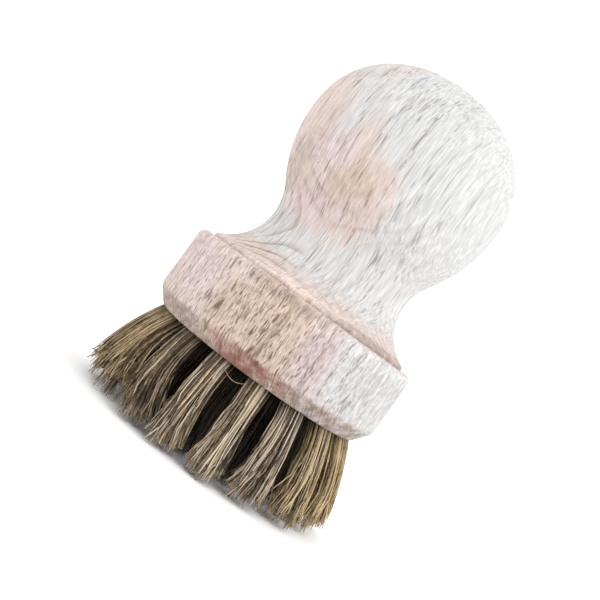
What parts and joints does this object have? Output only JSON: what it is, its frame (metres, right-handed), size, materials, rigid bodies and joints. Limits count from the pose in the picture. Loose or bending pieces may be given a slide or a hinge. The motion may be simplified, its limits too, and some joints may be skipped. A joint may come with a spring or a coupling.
{
  "type": "barbecue brush",
  "caption": "Turned wooden hand brush with a ball knob, waisted neck and round head, filled with leaning tufts of stiff plant fibre for scrubbing grills and pans.",
  "frame": {"origin": "on the axis of the turning, in the plane of the trimmed fibre tips that the brush stands on", "axes": "+Z along the axis, from the fibre tips up through the head and the knob; -Y is the side that faces the camera in the picture"},
  "size_m": [0.0628, 0.0628, 0.0946],
  "materials": {
    "beech": "bare sanded beech, matt, with fine dark flecks along the grain",
    "free_fibre": "stiff plant fibre, matt, mixed straw to dark brown",
    "folded_fibre": "stiff plant fibre, bound and folded, matt brown",
    "staple_wire": "drawn steel wire, satin"
  },
  "bodies": {
    "root": {"beech_body": "beech", "inner_strands": "free_fibre", "inner_tuft_01": "folded_fibre", "inner_staple_01": "staple_wire", "inner_tuft_02": "folded_fibre", "inner_staple_02": "staple_wire", "inner_tuft_03": "folded_fibre", "inner_staple_03": "staple_wire", "middle_strands": "free_fibre", "middle_tuft_01": "folded_fibre", "middle_staple_01": "staple_wire", "middle_tuft_02": "folded_fibre", "middle_staple_02": "staple_wire", "middle_tuft_03": "folded_fibre", "middle_staple_03": "staple_wire", "middle_tuft_04": "folded_fibre", "middle_staple_04": "staple_wire", "middle_tuft_05": "folded_fibre", "middle_staple_05": "staple_wire", "middle_tuft_06": "folded_fibre", "middle_staple_06": "staple_wire", "middle_tuft_07": "folded_fibre", "middle_staple_07": "staple_wire", "middle_tuft_08": "folded_fibre", "middle_staple_08": "staple_wire", "middle_tuft_09": "folded_fibre", "middle_staple_09": "staple_wire", "outer_strands": "free_fibre", "outer_tuft_01": "folded_fibre", "outer_staple_01": "staple_wire", "outer_tuft_02": "folded_fibre", "outer_staple_02": "staple_wire", "outer_tuft_03": "folded_fibre", "outer_staple_03": "staple_wire", "outer_tuft_04": "folded_fibre", "outer_staple_04": "staple_wire", "outer_tuft_05": "folded_fibre", "outer_staple_05": "staple_wire", "outer_tuft_06": "folded_fibre", "outer_staple_06": "staple_wire", "outer_tuft_07": "folded_fibre", "outer_staple_07": "staple_wire", "outer_tuft_08": "folded_fibre", "outer_staple_08": "staple_wire", "outer_tuft_09": "folded_fibre", "outer_staple_09": "staple_wire", "outer_tuft_10": "folded_fibre", "outer_staple_10": "staple_wire", "outer_tuft_11": "folded_fibre", "outer_staple_11": "staple_wire", "outer_tuft_12": "folded_fibre", "outer_staple_12": "staple_wire", "outer_tuft_13": "folded_fibre", "outer_staple_13": "staple_wire", "outer_tuft_14": "folded_fibre", "outer_staple_14": "staple_wire", "outer_tuft_15": "folded_fibre", "outer_staple_15": "staple_wire", "outer_tuft_16": "folded_fibre", "outer_staple_16": "staple_wire"}
  },
  "joints": []
}
